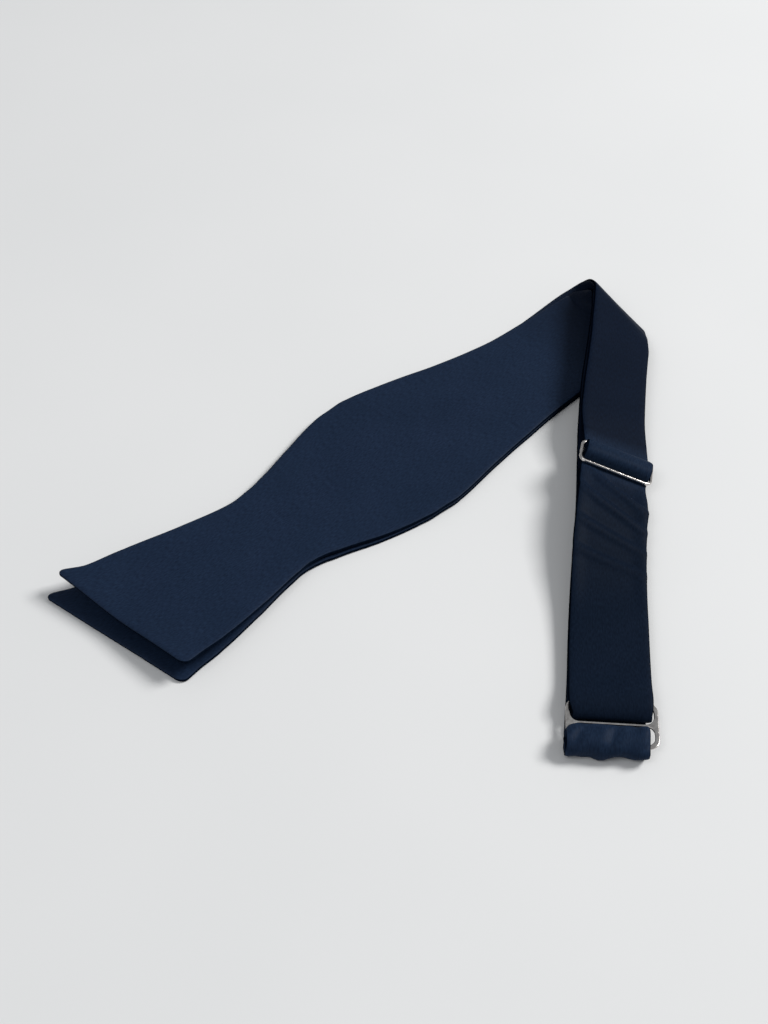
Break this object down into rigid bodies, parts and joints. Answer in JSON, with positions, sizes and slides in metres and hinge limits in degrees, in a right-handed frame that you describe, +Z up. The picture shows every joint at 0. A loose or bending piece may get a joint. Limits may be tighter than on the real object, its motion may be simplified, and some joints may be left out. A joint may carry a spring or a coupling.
{
  "type": "bow tie",
  "caption": "Untied self-tie bow tie in navy satin, laid folded in half, with an adjuster slider and a two-slot connector plate on the neck band.",
  "frame": {"origin": "on the table under the middle of the object's bounding box", "axes": "+Z up from the table, +Y away from the connector along the neck bands, +X to the right; the blades point to -X and -Y"},
  "size_m": [0.206, 0.2168, 0.0159],
  "materials": {
    "satin": "navy silk-look satin, very fine weave, soft sheen",
    "interlining": "undyed woven canvas, matt",
    "thread": "navy sewing thread",
    "nickel": "polished nickel plate with darker rounded edges"
  },
  "bodies": {
    "lower_half": {"lower_blade_front_panel": "satin", "lower_blade_interlining": "interlining", "lower_blade_back_panel": "satin", "lower_fold_front_panel": "satin", "lower_fold_interlining": "interlining", "lower_fold_back_panel": "satin", "upper_fold_front_panel": "satin", "upper_fold_interlining": "interlining", "upper_fold_back_panel": "satin"},
    "upper_blade": {"upper_blade_front_panel": "satin", "upper_blade_interlining": "interlining", "upper_blade_back_panel": "satin"},
    "neck_bands": {"fixed_band_front_panel": "satin", "fixed_band_interlining": "interlining", "fixed_band_back_panel": "satin", "connector_roll_front_panel": "satin", "connector_roll_interlining": "interlining", "connector_roll_back_panel": "satin", "connector_roll_tack": "thread", "adjusting_band_upper_front_panel": "satin", "adjusting_band_upper_interlining": "interlining", "adjusting_band_upper_back_panel": "satin", "adjusting_band_loop_front_panel": "satin", "adjusting_band_loop_interlining": "interlining", "adjusting_band_loop_back_panel": "satin"},
    "sewn_loop": {"slider_sewn_loop_front_panel": "satin", "slider_sewn_loop_interlining": "interlining", "slider_sewn_loop_back_panel": "satin", "sewn_loop_tack": "thread", "slider_hump_front_panel": "satin", "slider_hump_interlining": "interlining", "slider_hump_back_panel": "satin"},
    "slider": {"adjuster_slider": "nickel"},
    "connector": {"connector_plate": "nickel"}
  },
  "joints": [
    {"name": "bands_unfold", "type": "hinge", "parent": "lower_half", "child": "neck_bands", "pos_m": [0.09211, 0.08269, 0.0055], "axis": [-0.8804, 0.4544, 0.1354], "range_deg": [0, 170], "deforming": ["lower_fold_front_panel", "lower_fold_interlining", "lower_fold_back_panel", "upper_fold_front_panel", "upper_fold_interlining", "upper_fold_back_panel"]},
    {"name": "upper_blade_lift", "type": "hinge", "parent": "lower_half", "child": "upper_blade", "pos_m": [0.04241, 0.04237, 0.00308], "axis": [-0.66, 0.7513, 0], "range_deg": [0, 75]},
    {"name": "slider_slide", "type": "slide", "parent": "neck_bands", "child": "sewn_loop", "axis": [0.1028, 0.9947, 0], "range_m": [-0.07, 0.01], "deforming": ["adjusting_band_upper_front_panel", "adjusting_band_upper_interlining", "adjusting_band_upper_back_panel", "adjusting_band_loop_front_panel", "adjusting_band_loop_interlining", "adjusting_band_loop_back_panel"]},
    {"name": "slider_tilt", "type": "hinge", "parent": "sewn_loop", "child": "slider", "pos_m": [0.08401, 0.00554, 0.0088], "axis": [0.9314, -0.2236, -0.2874], "range_deg": [-5, 8], "deforming": ["slider_hump_front_panel", "slider_hump_interlining", "slider_hump_back_panel"]},
    {"name": "connector_swing", "type": "hinge", "parent": "neck_bands", "child": "connector", "pos_m": [0.07208, -0.10459, 0.00385], "axis": [0.9976, -0.0698, 0], "range_deg": [0, 5]}
  ]
}
